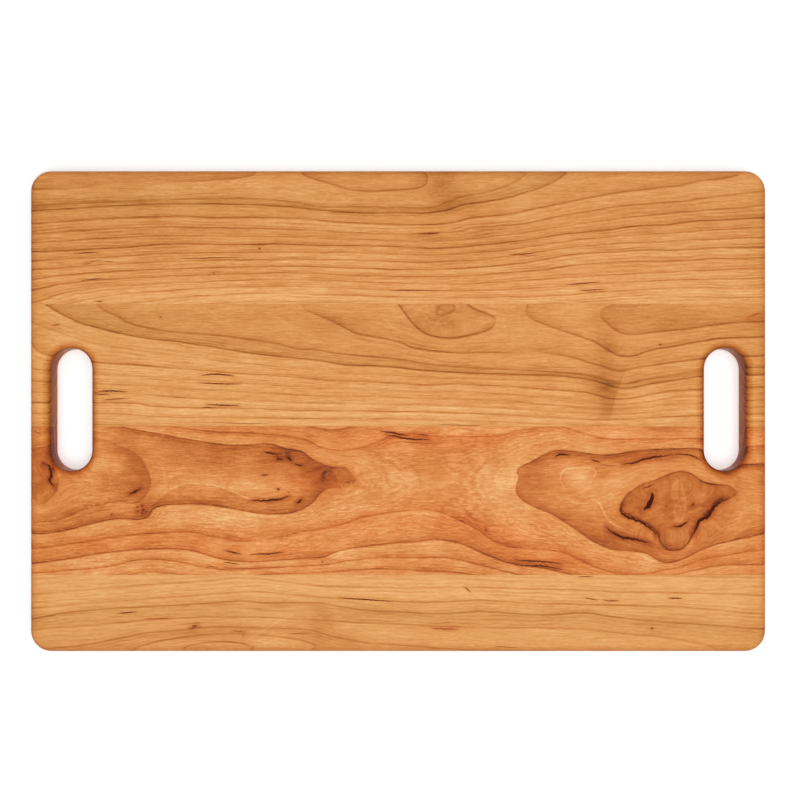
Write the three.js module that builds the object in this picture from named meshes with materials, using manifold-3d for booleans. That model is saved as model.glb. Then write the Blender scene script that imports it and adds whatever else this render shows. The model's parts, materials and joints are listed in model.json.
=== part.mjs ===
// Edge-glued hardwood cutting board with two hand slots and rounded edges.
// Millimetres. X runs along the grain, Y from the front to the rear, Z up.
// The origin is the middle of the underside.
import * as THREE from 'three';
import { mergeVertices } from 'three/addons/utils/BufferGeometryUtils.js';
import Module from 'manifold-3d';

// Board.
const boardLength = 457.2;
const boardWidth = 299;
const boardThickness = 19;
const cornerRadius = 12.7;
const edgeRadius = 3.175;

// Hand slots: round-ended, cut right through near each end.
const slotWidth = 25.4;
const slotLength = 76.2;
const slotToEnd = 25.4;
const slotCentreY = 1;

// Glue joints, each a thin film of cured glue between two staves.
const rearJointY = 66.5;
const middleJointY = -9.5;
const frontJointY = -101.75;
const glueThickness = 0.125;

// Facets of the round stretches.
const arcSegments = 8;
const edgeSegments = 4;

// How far the cutting boxes reach past the board.
const cutMargin = 10;

const wasm = await Module();
wasm.setup();

/** Closed outline of a rectangle with quarter-round corners, counter-clockwise. */
function addRoundedRectangle(path, centreX, centreY, sizeX, sizeY, radius) {
  const right = centreX + sizeX / 2 - radius;
  const left = centreX - sizeX / 2 + radius;
  const rear = centreY + sizeY / 2 - radius;
  const front = centreY - sizeY / 2 + radius;
  const quarter = Math.PI / 2;
  path.absarc(right, rear, radius, 0, quarter);
  path.absarc(left, rear, radius, quarter, 2 * quarter);
  path.absarc(left, front, radius, 2 * quarter, 3 * quarter);
  path.absarc(right, front, radius, 3 * quarter, 4 * quarter);
  path.closePath();
  return path;
}

/** The whole board in one piece: outline, both slots, and every edge rounded over. */
function boardGeometry() {
  const outline = addRoundedRectangle(new THREE.Shape(), 0, 0, boardLength, boardWidth, cornerRadius);
  const slotCentreX = boardLength / 2 - slotToEnd;
  for (const side of [-1, 1]) {
    const slot = addRoundedRectangle(
      new THREE.Path(), side * slotCentreX, slotCentreY, slotWidth, slotLength, slotWidth / 2);
    outline.holes.push(slot);
  }
  const geometry = new THREE.ExtrudeGeometry(outline, {
    depth: boardThickness - 2 * edgeRadius,
    curveSegments: arcSegments,
    bevelThickness: edgeRadius,
    bevelSize: edgeRadius,
    bevelOffset: -edgeRadius,
    bevelSegments: edgeSegments,
  });
  geometry.translate(0, 0, edgeRadius);
  return geometry;
}

/** A box that holds everything between two Y values and two X values. */
function stripGeometry(frontY, rearY, leftX, rightX) {
  const height = boardThickness + 2 * cutMargin;
  const geometry = new THREE.BoxGeometry(rightX - leftX, rearY - frontY, height);
  geometry.translate((leftX + rightX) / 2, (frontY + rearY) / 2, boardThickness / 2);
  return geometry;
}

function toSolid(geometry) {
  const bare = geometry.clone();
  bare.deleteAttribute('normal');
  bare.deleteAttribute('uv');
  const merged = mergeVertices(bare);
  return new wasm.Manifold(new wasm.Mesh({
    numProp: 3,
    vertProperties: new Float32Array(merged.attributes.position.array),
    triVerts: new Uint32Array(merged.index.array),
  }));
}

function toGeometry(solid) {
  const mesh = solid.getMesh();
  const geometry = new THREE.BufferGeometry();
  geometry.setAttribute('position', new THREE.BufferAttribute(new Float32Array(mesh.vertProperties), 3));
  geometry.setIndex(new THREE.BufferAttribute(new Uint32Array(mesh.triVerts), 1));
  geometry.computeVertexNormals();
  return geometry;
}

const board = toSolid(boardGeometry());
const endX = boardLength / 2 + cutMargin;
const outsideY = boardWidth / 2 + cutMargin;

/** The part of the board that lies in one strip, as a named mesh. */
function boardSlice(name, material, frontY, rearY, leftX = -endX, rightX = endX) {
  const strip = toSolid(stripGeometry(frontY, rearY, leftX, rightX));
  const mesh = new THREE.Mesh(toGeometry(board.intersect(strip)), material);
  mesh.name = name;
  return mesh;
}

function oiledWood(color) {
  return new THREE.MeshStandardMaterial({ color, roughness: 0.45, metalness: 0 });
}

const halfGlue = glueThickness / 2;

function makeStaves() {
  return [
    boardSlice('stave_rear', oiledWood(0xd69253), rearJointY + halfGlue, outsideY),
    boardSlice('stave_rear_middle', oiledWood(0xd99657), middleJointY + halfGlue, rearJointY - halfGlue),
    boardSlice('stave_front_middle', oiledWood(0xd38448), frontJointY + halfGlue, middleJointY - halfGlue),
    boardSlice('stave_front', oiledWood(0xdc9c5f), -outsideY, frontJointY - halfGlue),
  ];
}

/** The middle joint crosses both slots, so its film is three separate pieces. */
function makeGlueLines() {
  const glue = new THREE.MeshStandardMaterial({ color: 0xb0713a, roughness: 0.5, metalness: 0 });
  const slotMiddleX = boardLength / 2 - slotToEnd;
  const film = (name, jointY, leftX, rightX) =>
    boardSlice(name, glue, jointY - halfGlue, jointY + halfGlue, leftX, rightX);
  return [
    film('glue_line_rear', rearJointY),
    film('glue_line_middle_left', middleJointY, -endX, -slotMiddleX),
    film('glue_line_middle_centre', middleJointY, -slotMiddleX, slotMiddleX),
    film('glue_line_middle_right', middleJointY, slotMiddleX, endX),
    film('glue_line_front', frontJointY),
  ];
}

const cuttingBoard = new THREE.Group();
cuttingBoard.add(...makeStaves(), ...makeGlueLines());

export default cuttingBoard;
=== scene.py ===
"""Edge-glued cherry cutting board: fine staves, real gum pockets and a grain that follows the growth rings.

Lengths are millimetres in the row's frame until a mesh is written, which is in metres.
"""
import json
import math

import bmesh
import bpy
import numpy as np
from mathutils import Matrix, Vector
from mathutils.geometry import delaunay_2d_cdt


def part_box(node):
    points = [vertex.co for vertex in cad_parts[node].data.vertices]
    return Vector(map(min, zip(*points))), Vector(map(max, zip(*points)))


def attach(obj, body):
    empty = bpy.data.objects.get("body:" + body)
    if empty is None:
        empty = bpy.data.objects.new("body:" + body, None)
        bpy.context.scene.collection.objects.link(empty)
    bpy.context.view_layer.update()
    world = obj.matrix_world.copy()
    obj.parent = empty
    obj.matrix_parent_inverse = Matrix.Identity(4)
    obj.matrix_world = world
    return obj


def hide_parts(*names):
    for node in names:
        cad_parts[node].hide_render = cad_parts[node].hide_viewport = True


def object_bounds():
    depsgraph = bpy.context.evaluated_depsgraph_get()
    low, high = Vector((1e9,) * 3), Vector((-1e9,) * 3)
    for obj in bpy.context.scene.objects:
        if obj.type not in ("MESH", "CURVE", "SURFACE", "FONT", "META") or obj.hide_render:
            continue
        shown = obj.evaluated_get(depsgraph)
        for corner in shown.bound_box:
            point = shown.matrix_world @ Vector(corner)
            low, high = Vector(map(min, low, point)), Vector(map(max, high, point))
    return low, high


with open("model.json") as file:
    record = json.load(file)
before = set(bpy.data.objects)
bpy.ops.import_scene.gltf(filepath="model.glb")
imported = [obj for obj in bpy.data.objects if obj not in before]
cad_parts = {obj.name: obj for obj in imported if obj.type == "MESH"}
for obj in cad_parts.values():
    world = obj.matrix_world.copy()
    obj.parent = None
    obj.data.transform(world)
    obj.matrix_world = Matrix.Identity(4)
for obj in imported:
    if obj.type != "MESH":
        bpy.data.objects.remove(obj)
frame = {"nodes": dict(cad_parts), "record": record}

MM = 0.001
CAD_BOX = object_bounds()

# ---------------------------------------------------------------- sizes

EDGE_RADIUS = 3.175
CORNER_RADIUS = 12.7
SLOT_WIDTH = 25.4
SLOT_LENGTH = 76.2

GRID = 2.0              # spacing of the surface points
EDGE_STEPS = 8          # facets across one rounded edge
WALL_STEPS = 6          # rows up a slot wall or the board's side

LOW = Vector(CAD_BOX[0]) / MM
HIGH = Vector(CAD_BOX[1]) / MM
THICKNESS = HIGH.z - LOW.z
HALF_LENGTH = (HIGH.x - LOW.x) / 2
HALF_WIDTH = (HIGH.y - LOW.y) / 2


def slot_centres():
    """Middle of each hand slot, from the record's stated openings."""
    centres = []
    for opening in frame["record"]["physics"]["openings"]:
        low, high = opening["box_m"]
        centres.append(((low[0] + high[0]) / 2 / MM, (low[1] + high[1]) / 2 / MM))
    return centres


def slot_gap(x, y):
    """Distance from each place to the nearest slot's wall, below 0 inside the slot."""
    gaps = []
    for centre_x, centre_y in slot_centres():
        past_end = np.maximum(0, np.abs(y - centre_y) - (SLOT_LENGTH - SLOT_WIDTH) / 2)
        gaps.append(np.hypot(x - centre_x, past_end) - SLOT_WIDTH / 2)
    return np.min(gaps, axis=0)


def on_flat(x, y):
    """Whether each place is on the flat of the top face, clear of every rounded edge."""
    past_x = np.maximum(0, np.abs(x) - (HALF_LENGTH - CORNER_RADIUS))
    past_y = np.maximum(0, np.abs(y) - (HALF_WIDTH - CORNER_RADIUS))
    in_outline = np.hypot(past_x, past_y) < CORNER_RADIUS - EDGE_RADIUS
    return in_outline & (slot_gap(x, y) > EDGE_RADIUS)


# ---------------------------------------------------------------- growth rings

# Where a growth ring meets the top face: (ring number, points along it). Whole numbers are the dark
# late-wood lines that stand out; the lines between two guides follow both of them.
RING_GUIDES = {
    "stave_rear": [
        (-1, [(-228, 153), (-170, 156), (-120, 158)]),
        (0, [(-228, 137.4), (-199, 138.5), (-167, 140.2), (-136, 142.1), (-98, 144.9), (-89, 147),
          (-84, 153)]),
        (0, [(-63, 153), (-59, 146.7), (-54, 144.7), (-37, 139.4), (-29, 137.1), (-21, 136.4), (-10, 136.5),
          (3, 137.5), (14, 138.6), (17.5, 141.5), (18.2, 144.7), (15, 152)]),
        (-0.6, [(-35, 147), (-10, 145), (8, 146)]),
        (0.5, [(-77, 148), (-70, 141), (-60, 138.5), (-45, 134.5), (-30, 131.5), (0, 131.5), (16, 132.5),
          (24, 136), (29, 143), (31, 152)]),
        (1, [(-228, 127.6), (-199, 128.9), (-167, 130.2), (-136, 131.3), (-101, 132), (-82, 131.2),
          (-62, 129.2), (-50, 126.9), (-32, 126.6), (3, 126.1), (18, 126.1), (29, 128.1), (36, 132),
          (52, 135.4), (63, 137.9), (70.5, 141.3), (76, 144.1), (79, 147), (80, 153)]),
        (2, [(-228, 124.2), (-199, 126.1), (-152, 128.4), (-121, 128.6), (-90, 128.1), (-59, 126.1),
          (-32, 123.3), (3, 123.2), (18, 123), (29, 124.5), (41, 128.1), (64, 131.5), (84, 137.1),
          (94, 141), (100, 144.2), (105, 148), (107, 153)]),
        (3, [(-228, 116), (-191, 118.7), (-167, 119.7), (-136, 120.5), (-113, 119.7), (-82, 120),
          (-59, 119.1), (-32, 116.9), (3, 115.5), (21, 115.5), (35, 117.1), (44, 119.3), (60, 121.1),
          (78, 123.8), (97, 127.8), (131, 134.6), (162, 138.5), (176, 140.1), (188, 142.9), (204, 144.6),
          (213, 147.5), (217, 153)]),
        (4, [(-228, 110), (-190, 112.6), (-150, 114), (-70, 113), (-35, 111), (3, 109.6), (20, 110.6),
          (39, 111.5), (44, 113.7), (75, 115.7), (97, 120.1), (137, 126.9), (176, 130.4), (228, 136.7)]),
        (6, [(-228, 98.6), (-178, 101), (-149, 103.3), (-121, 103.6), (-98, 103.1), (-74, 103.6),
          (-51, 102.8), (-12, 102.5), (3, 101.6), (18, 101), (44, 102.2), (60, 103.8), (83, 106.4),
          (98, 109), (131, 112.6), (146, 114.5), (168, 115.7), (184, 117.7), (228, 120)]),
        (9, [(-228, 81.1), (-211, 83.9), (-167, 87), (-136, 88.2), (-74, 89.9), (-43, 89.3), (3, 87.8),
          (29, 88.1), (60, 90.1), (84, 92.9), (106, 96.8), (129, 98.6), (153, 99.7), (173, 99.9),
          (199, 101.3), (228, 101.7)]),
        (11, [(-228, 66.8), (-220, 69.1), (-209, 72.7), (-199, 74.9), (-183, 76.9), (-160, 78.5),
          (-121, 80.3), (-74, 81.6), (-35, 80.5), (3, 79.2), (36, 78.9), (75, 80.8), (106, 83), (168, 86.4),
          (228, 88.5)]),
        (13, [(-212, 59), (-191, 63.5), (-160, 67.6), (-121, 71.5), (-90, 73), (-43, 72.2), (3, 70.8),
          (60, 70.6), (106, 72.3), (137, 74.6), (184, 76.9), (199, 76.1), (228, 76.6)]),
    ],
    "stave_rear_middle": [
        (-3, [(150, 69), (134, 66.5), (126.5, 63), (125.5, 59.2), (129.4, 54.6), (135.6, 49.9),
          (141.8, 47.6), (149.6, 47.6), (158.9, 49.1), (172.9, 50.2), (208.6, 54.6), (230, 55.5)]),
        (-3, [(26.2, 66), (23.1, 62.3), (23.9, 59.5), (27, 58.4), (30.9, 60.8), (35.5, 62.6), (35.2, 66)]),
        (-2, [(0, 66.5), (5.3, 59.2), (11.5, 52.2), (17.7, 47.9), (25.4, 45.7), (34.8, 45.3), (44.1, 46.8),
          (51.8, 48.7), (58, 51.5), (60.8, 56.1), (59.6, 58.9), (54.9, 60.8), (47.2, 63.6), (42, 67)]),
        (-2, [(80.5, 68), (79.3, 62.3), (79.8, 59.2), (84.4, 56.4), (93.7, 52.7), (113.9, 46),
          (121.7, 42.9), (127.9, 39.4), (134.1, 35.6), (141.8, 33.6), (148, 34.4), (155.8, 37.5),
          (168.2, 39.8), (199.3, 44.8), (228, 46)]),
        (-1, [(-62, 68), (-57.4, 62.6), (-46.5, 58.4), (-37.2, 54.1), (-27.9, 48.7), (-23.2, 47.1),
          (-12.4, 45.6), (2.5, 42.2), (6.8, 39.8), (17.7, 38), (33.2, 36.3), (59.6, 36.4), (93.7, 35.4),
          (103, 34.4), (110.8, 32.8), (118.6, 30), (124.8, 28.6), (131, 26.2), (137.2, 24.9), (141.8, 25.1),
          (149.6, 27.4), (162, 29), (189.2, 32.4), (228, 34.3)]),
        (-0.5, [(-118, 68), (-95, 60), (-75, 53), (-55, 48.5), (-38, 44.5), (-20, 41), (0, 38)]),
        (0, [(-190, 69), (-185.4, 65), (-181.5, 61.9), (-173.8, 59.2), (-169.9, 55.8), (-159.8, 52.6),
          (-142.7, 49.4), (-121, 47.9), (-102.4, 45.7), (-74.4, 41.7), (-62, 38.6), (-51.2, 38.3),
          (-43.4, 36.4), (-12.4, 33.2), (2.5, 31.9), (28.6, 27.9), (67.3, 25.7), (106, 23.6), (118.6, 22),
          (128, 19.5), (137, 17), (145, 17.5), (156, 19.8), (189, 25)]),
        (1, [(-221, 68), (-217.2, 65.1), (-209.4, 60.5), (-200.9, 56.1), (-190.8, 52.7), (-167.5, 47.1),
          (-152, 44.5), (-133.4, 42.5), (-100.8, 37.2), (-65.1, 32.8), (-46.5, 31), (-32.5, 28.5),
          (-12.4, 27.9), (17.7, 25.1), (44.1, 23.5), (89.1, 22.3), (106.1, 21.2), (118.6, 19.4),
          (126.3, 17.3), (134.1, 15), (137.2, 13.9), (144.9, 14.2), (155.8, 16.6), (189.2, 21.5),
          (228, 22.4)]),
        (3, [(-228, 42), (-223, 36.7), (-215.6, 34), (-205, 32), (-189, 30.1), (-163, 28.5), (-121, 25.1),
          (-59, 20.4), (-40.3, 18.6), (-20, 18.4), (17.7, 16.1), (41, 16.6), (84.4, 13.9), (103, 12.7),
          (118.6, 11.1), (129.4, 8), (137.2, 7.2), (149.6, 8.5), (162, 11.1), (176, 12.7), (228, 15)]),
        (7, [(-228, 5), (-167.5, 4.9), (-148.9, 2.6), (-90, 1.3), (-59, 0.3), (2.5, -0.5), (59.6, -2.1),
          (90.6, -4.1), (129.4, -5.5), (152.7, -4.4), (183.7, -2.9), (228, -2)]),
    ],
    "stave_front_middle": [
        (3, [(-228, -101), (-183, -97), (-163, -92.7), (-149, -92.4), (-133, -94.3), (-118, -97.4),
          (-101, -98.5), (-85, -97.4), (-51, -95.8), (-28, -92.7), (-12, -91.2), (13, -91), (36, -92),
          (52, -95.8), (63, -98.9), (80, -103)]),
        (2, [(-228, -95), (-211, -92.7), (-175, -87.3), (-152, -85.7), (-133, -86), (-121, -88.5),
          (-109, -91.9), (-90, -93.8), (-59, -91.6), (-46, -90.7), (-39, -87.7), (-23, -84.5), (2, -81.8),
          (13, -81.1), (22, -79.8), (33, -81.1), (42, -83.4), (52, -88), (63, -92.7), (75, -95.8),
          (91, -97.8), (118, -104)]),
        (2, [(150, -106), (163, -103), (174, -101.2), (188, -98.1), (202, -95.8), (228, -95.5)]),
        (1, [(-228, -85.7), (-195, -81.5), (-178, -78.4), (-160, -76.4), (-129, -75.3), (-118, -77.2),
          (-107, -79.1), (-99, -81.1), (-87, -80.6), (-74, -78.4), (-59, -74.9), (-43, -72.5), (-31, -69.4),
          (-22, -66), (-9, -63.5), (7, -61.8), (18, -61.4), (27, -62.9), (35, -66.8), (42, -69.7),
          (49, -73.3), (55, -78), (64, -82.6), (75, -85), (98, -87), (109, -90.4), (120, -95.8),
          (129, -99.2), (140, -101.7), (156, -101), (167, -98.5), (176, -97), (190, -92), (228, -86)]),
        (0, [(-182, -6), (-173.8, -8.9), (-163, -11.2), (-138, -15.9), (-112, -20.2), (-95, -21),
          (-81, -19.8), (-70, -22.9), (-59, -24.9), (-54, -29.1), (-46, -33), (-39, -34.5), (-32, -34.5),
          (-30, -37.6), (-26.3, -43.1), (-29, -46.9), (-36, -47.7), (-42, -47.7), (-48, -50.8),
          (-54, -57.8), (-62, -62), (-71, -64), (-87, -63.5), (-113, -58.9), (-133, -57.8), (-146, -58.9),
          (-152, -60.9), (-155, -65.6), (-161, -67.6), (-175, -67.1), (-191, -70.2), (-206, -74.1),
          (-220, -76.4), (-228, -76.1)]),
        (0, [(228, -32.5), (207, -32), (190, -24.4), (181, -22.9), (150, -24.1), (129, -27.2), (109, -24.7),
          (98, -24.4), (91, -26.8), (83, -31), (77, -33.7), (72.8, -37.2), (75, -40.7), (73.4, -45.4),
          (73.2, -50.8), (78, -56.2), (86, -60.4), (97, -64.8), (105, -70.2), (122, -81.4), (132, -85.7),
          (143, -87), (154, -88.5), (160, -91.9), (167, -94.3), (176, -92.2), (188, -86.5), (199, -82.6),
          (228, -76)]),
        (0.35, [(-38, -29), (-24, -31), (-14, -38), (-13, -47), (-24, -54.5), (-40, -59), (-54, -66)]),
        (0.65, [(-18, -26), (-3, -30), (8, -40), (6, -50), (-8, -57), (-28, -63.5)]),
        (0.65, [(78, -20), (55, -28), (44, -38), (43, -50), (52, -61), (72, -74)]),
        (0.35, [(89, -22), (70, -31), (60, -39), (59, -50), (66, -59), (84, -68)]),
        (1, [(-160, -6), (-120, -12), (-90, -13.5), (-60, -17), (-46, -23), (-30, -24), (-15, -20),
          (-6, -16), (5, -13.6), (29, -15.4), (60, -15.1), (72, -12.8), (81, -10.8), (94, -8.5)]),
        (-1, [(-188, -15.9), (-180, -18.2), (-171, -22.1), (-163, -26), (-158, -29.9), (-156.7, -35.3),
          (-154, -40), (-154, -46.2), (-156.7, -52.4), (-161.3, -56.7), (-172, -56.2), (-194, -60.4),
          (-203, -64.8), (-214, -68.2), (-228, -69.4)]),
        (-1.6, [(-228, -36), (-220, -38), (-215, -44), (-218, -50), (-228, -51)]),
        (-1, [(-142.7, -49.3), (-133.4, -45.8), (-121, -45.4), (-111.7, -47.4), (-100.8, -51.3), (-90, -54),
          (-75, -54.5), (-66, -50), (-64, -42), (-72, -36), (-90, -35), (-128, -38), (-141, -42),
          (-142.7, -49.3)]),
        (-1, [(228, -66), (205, -70), (196, -76), (188, -83), (178, -88.5), (168, -89.5), (160, -84),
          (155, -78), (145, -73), (133, -69.5), (127, -64), (122.5, -57.5), (112.4, -54.7), (104.6, -49.3),
          (100, -41.5), (103, -37.6), (110.8, -34.2), (125, -35.5), (140.3, -32.8), (152.7, -30.2),
          (165.1, -28.4), (176, -27.4), (182.2, -28.2), (190, -31.8), (200, -37), (213, -41.5),
          (228, -44)]),
        (-2, [(138, -58.6), (140.5, -53.5), (144.9, -49.3), (152.7, -44.9), (162, -41.8), (169.8, -38.4),
          (176, -37.2), (182.2, -38.7), (188.4, -43.1), (197.7, -45.4), (205.5, -46.2), (210.9, -50.5),
          (205.5, -54.7), (197.7, -57.8), (193, -63.2), (187.6, -67.9), (183.7, -75.6), (179.1, -83.4),
          (172.9, -86.5), (166.7, -85.7), (162.8, -81.9), (160.5, -75.6), (154.3, -70.2), (146.5, -66.3),
          (139.5, -62.4), (138, -58.6)]),
        (-3, [(160, -56), (170, -50), (180, -50), (184, -56), (178, -64), (168, -66), (160, -56)]),
    ],
    "stave_front": [
        (1, [(-228, -114.1), (-183, -110.2), (-136, -106.7), (-98, -103.9), (-82, -104.3), (-67, -106.7),
          (-51, -108.2), (2, -109.8), (49, -109.3), (67, -110.1), (137, -112.1), (228, -114.4)]),
        (2, [(-228, -122.5), (-183, -118.8), (-136, -115.2), (-98, -112.4), (-82, -112.4), (-67, -114.1),
          (-43, -115.7), (2, -118.3), (29, -118.3), (52, -117.5), (72, -118.8), (106, -119.9),
          (168, -121.4), (191, -123), (228, -126.5)]),
        (3, [(-228, -129.2), (-206, -125.3), (-183, -122.7), (-136, -120.3), (-98, -118), (-82, -119.1),
          (-51, -118.8), (-43, -119.9), (-31, -122.2), (-12, -124.1), (29, -125.8), (52, -124.1),
          (72, -125.8), (91, -126.4), (119, -125.3), (129, -126.8), (145, -129.2), (191, -132.7),
          (228, -135.4)]),
        (4, [(-228, -135.8), (-183, -132.3), (-150, -129.5), (-120, -127.8), (-90, -128), (-67, -129.3),
          (-51, -130), (-12, -131.8), (44, -134.3), (106, -134.9), (122, -136.2), (137, -137.7),
          (160, -140), (184, -143.6), (193, -145.8), (200, -149.5)]),
        (5, [(-228, -149.5), (-214, -147.3), (-199, -145.8), (-183, -143.1), (-167, -140), (-155, -137.4),
          (-136, -136.2), (-121, -134.3), (-98, -134.3), (-59, -135.4), (-51, -136.9), (-43, -139.3),
          (-28, -142.4), (-12, -144.2), (2, -145.2), (30, -147.5), (55, -150)]),
        (6, [(-150, -151), (-163, -148.5), (-156.7, -144.7), (-136.5, -140.8), (-121, -138.9),
          (-98, -138.5), (-75, -140), (-59, -142.4), (-52, -144.7), (-51, -146.7), (-59, -149),
          (-80, -151)]),
        (7, [(-125, -150), (-133.4, -147.8), (-130.3, -145.8), (-121, -143.9), (-105.5, -143.1),
          (-96.2, -144.7), (-89.2, -146.7), (-95, -149.5)]),
    ],
}
# Places where the grain dives into the face and its lines blur out: (x, y, half-axis along, half-axis
# across, how much).
DIVES = {
    "stave_rear": [(27, 138, 10, 10, 0.5)],
    "stave_rear_middle": [(30, 61, 13, 9, 0.75), (131, 12, 7, 14, 0.3)],
    "stave_front_middle": [(-36, -42, 16, 11, 1), (172, -60, 30, 20, 0.85), (-216, -45, 11, 13, 0.7),
        (-163, -40, 9, 15, 0.4), (-158, -61, 5, 4, 0.5), (15, -44, 45, 13, 0.35), (96, -45, 19, 14, 0.45),
        (-60, -42, 13, 13, 0.35), (117, -66, 16, 8, 0.35), (207, -51, 8, 6, 0.75)],
    "stave_front": [(-48, -136, 10, 9, 0.4)],
}
# The rest of each stave's look:
# stretch: how much slower the figure changes along the grain than across it
# base_tone: the tone of plain wood; stain_red: how much redder the soft shading makes it
# fine_lines, fine_tone: how many faint lines there are in a ring, and how strong they are
# red_ring, red_amount: the ring where the wood turns redder (above 0) or greener, and by how much
# fibre_length, fibre_tone: the fibres' length in millimetres and strength
# wisps: strength of the wavy lines where rings are far apart; flecks: how much paler short flecks are
# figure: strength of the slow light and dark patches; seed: where in the noise the stave lies
LOOKS = {
    "stave_rear": dict(
        stretch=4.0, base_tone=0.27, stain_red=-0.4, fine_lines=3.0, fine_tone=1.4, red_ring=1.5,
        red_amount=-0.25, fibre_length=9.0, fibre_tone=0.9, wisps=0.03, flecks=-0.05, figure=0.04, seed=3.0),
    "stave_rear_middle": dict(
        stretch=3.0, base_tone=0.29, stain_red=-0.3, fine_lines=4.0, fine_tone=1.1, red_ring=0.5,
        red_amount=-0.25, fibre_length=8.0, fibre_tone=0.9, wisps=0.03, flecks=-0.07, figure=0.04, seed=17.0),
    "stave_front_middle": dict(
        stretch=1.6, base_tone=0.345, stain_red=0.5, fine_lines=4.0, fine_tone=0.85, red_ring=1.25,
        red_amount=0.4, fibre_length=6.0, fibre_tone=1.15, wisps=0.085, flecks=-0.13, figure=0.13, seed=31.0),
    "stave_front": dict(
        stretch=4.0, base_tone=0.28, stain_red=-0.2, fine_lines=4.0, fine_tone=1.1, red_ring=3.2,
        red_amount=-0.15, fibre_length=9.0, fibre_tone=0.75, wisps=0.03, flecks=-0.05, figure=0.035,
        seed=47.0),
}
GUIDE_STEP = 3.0        # spacing of the points that a guide is turned into
FIELD_STEP = 1.5        # spacing of the grid on which the ring field is worked out
FIELD_MARGIN = 3.0      # how far that grid reaches past the stave
RING_SLOPE = 0.2        # rings crossed per millimetre of depth, well below the face
SLOPE_START = 3.0       # depth over which the rings turn to that slope

# Knots that turn the fibres aside: centre and half-axes.
KNOTS = [((172, -62), (34, 22)), ((-40, -42), (9, 6)), ((-218, -44), (11, 14)), ((31, 58), (22, 10))]


def smooth_curve(points, step, stretch):
    """Points about a step apart on a Catmull-Rom curve through the given ones, x measured squeezed."""
    p = np.array(points, float) / (stretch, 1.0)
    padded = np.vstack([2 * p[0] - p[1], p, 2 * p[-1] - p[-2]])
    stretches = []
    for before, start, end, after in zip(padded, padded[1:], padded[2:], padded[3:]):
        count = max(1, math.ceil(np.linalg.norm(end - start) / step))
        t = np.arange(count)[:, None] / count
        stretches.append(0.5 * (2 * start + (end - before) * t
                                + (2 * before - 5 * start + 4 * end - after) * t ** 2
                                + (3 * start - 3 * end + after - before) * t ** 3))
    stretches.append(p[-1:])
    return np.vstack(stretches)


def bending(a, b):
    """The thin-plate kernel between two sets of points."""
    squared = ((a[:, None, :] - b[None, :, :]) ** 2).sum(2)
    return squared * np.log(squared + 1e-9)


class RingField:
    """Ring number over a stave's top face: a thin elastic sheet pinned to every guide at its number."""

    UNIT = 50.0
    STIFFNESS = 4e-4

    def __init__(self, node, low_y, high_y):
        stretch = LOOKS[node]["stretch"]
        curves = [smooth_curve(points, GUIDE_STEP, stretch) for _, points in RING_GUIDES[node]]
        rings = np.concatenate([np.full(len(c), float(r)) for c, (r, _) in zip(curves, RING_GUIDES[node])])
        pins = np.vstack(curves) / self.UNIT
        count = len(pins)
        system = np.zeros((count + 3, count + 3))
        system[:count, :count] = bending(pins, pins) + self.STIFFNESS * np.eye(count)
        system[:count, count] = 1
        system[:count, count + 1:] = pins
        system[count:, :count] = system[:count, count:].T
        weights = np.linalg.solve(system, np.concatenate([rings, np.zeros(3)]))
        self.x = np.arange(-HALF_LENGTH - FIELD_MARGIN, HALF_LENGTH + 2 * FIELD_MARGIN, FIELD_STEP)
        self.y = np.arange(low_y - FIELD_MARGIN, high_y + 2 * FIELD_MARGIN, FIELD_STEP)
        grid = np.stack(np.meshgrid(self.x / stretch, self.y), -1).reshape(-1, 2) / self.UNIT
        parts = np.array_split(grid, len(grid) // 3000 + 1)
        rows = [bending(part, pins) @ weights[:count] for part in parts]
        flat = np.concatenate(rows) + weights[count] + grid @ weights[count + 1:]
        self.ring = flat.reshape(len(self.y), len(self.x))
        self.across, self.along = np.gradient(self.ring, FIELD_STEP)

    def sample(self, grid, x, y):
        """Bilinear reading of one of the grids at the given places."""
        u = np.clip((x - self.x[0]) / FIELD_STEP, 0, len(self.x) - 1.001)
        v = np.clip((y - self.y[0]) / FIELD_STEP, 0, len(self.y) - 1.001)
        i, j = u.astype(int), v.astype(int)
        u, v = u - i, v - j
        low = grid[j, i] * (1 - u) + grid[j, i + 1] * u
        high = grid[j + 1, i] * (1 - u) + grid[j + 1, i + 1] * u
        return low * (1 - v) + high * v


def soft_spots(spots, x, y):
    """The sum of soft round spots at the given places."""
    total = np.zeros(len(x))
    for centre_x, centre_y, half_x, half_y, amount in spots:
        total += amount * np.exp(-((x - centre_x) / half_x) ** 2 - ((y - centre_y) / half_y) ** 2)
    return total


def mark_points(node, step):
    """Points all along a stave's cracks and at its specks, each with the mark's half-width."""
    rows = [(x, y, radius) for x, y, radius in SPECKS[node]]
    for width, points in CRACKS[node] + STREAKS[node]:
        rows += [(x, y, width / 2) for x, y in smooth_curve(points, step, 1.0)]
    return np.array(rows)


def gap_to_marks(node, x, y, step=0.7):
    """For each place: distance to the edge of the nearest crack or speck, and half of that mark's width."""
    marks = mark_points(node, step)
    places = np.stack([x, y], 1)
    gaps, widths = [], []
    for part in np.array_split(places, len(places) // 4000 + 1):
        away = np.hypot(part[:, None, 0] - marks[:, 0], part[:, None, 1] - marks[:, 1]) - marks[:, 2]
        nearest = away.argmin(1)
        gaps.append(away[np.arange(len(part)), nearest])
        widths.append(marks[nearest, 2])
    return np.concatenate(gaps), np.concatenate(widths)


def edge_shade_and_oil(x, y):
    """Painted shade with oil darkening: 1 on a slot's wall, fading out over its rounded edge; the same but
    weaker at the board's outer rim.
    """
    shade_and_oil = np.clip(1 - slot_gap(x, y) / SLOT_SHADE_REACH, 0, 1) ** 0.8
    rim = np.minimum(HALF_LENGTH - np.abs(x), HALF_WIDTH - np.abs(y))
    return np.maximum(shade_and_oil, 0.4 * np.clip(1 - rim / RIM_SHADE_REACH, 0, 1))


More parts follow.
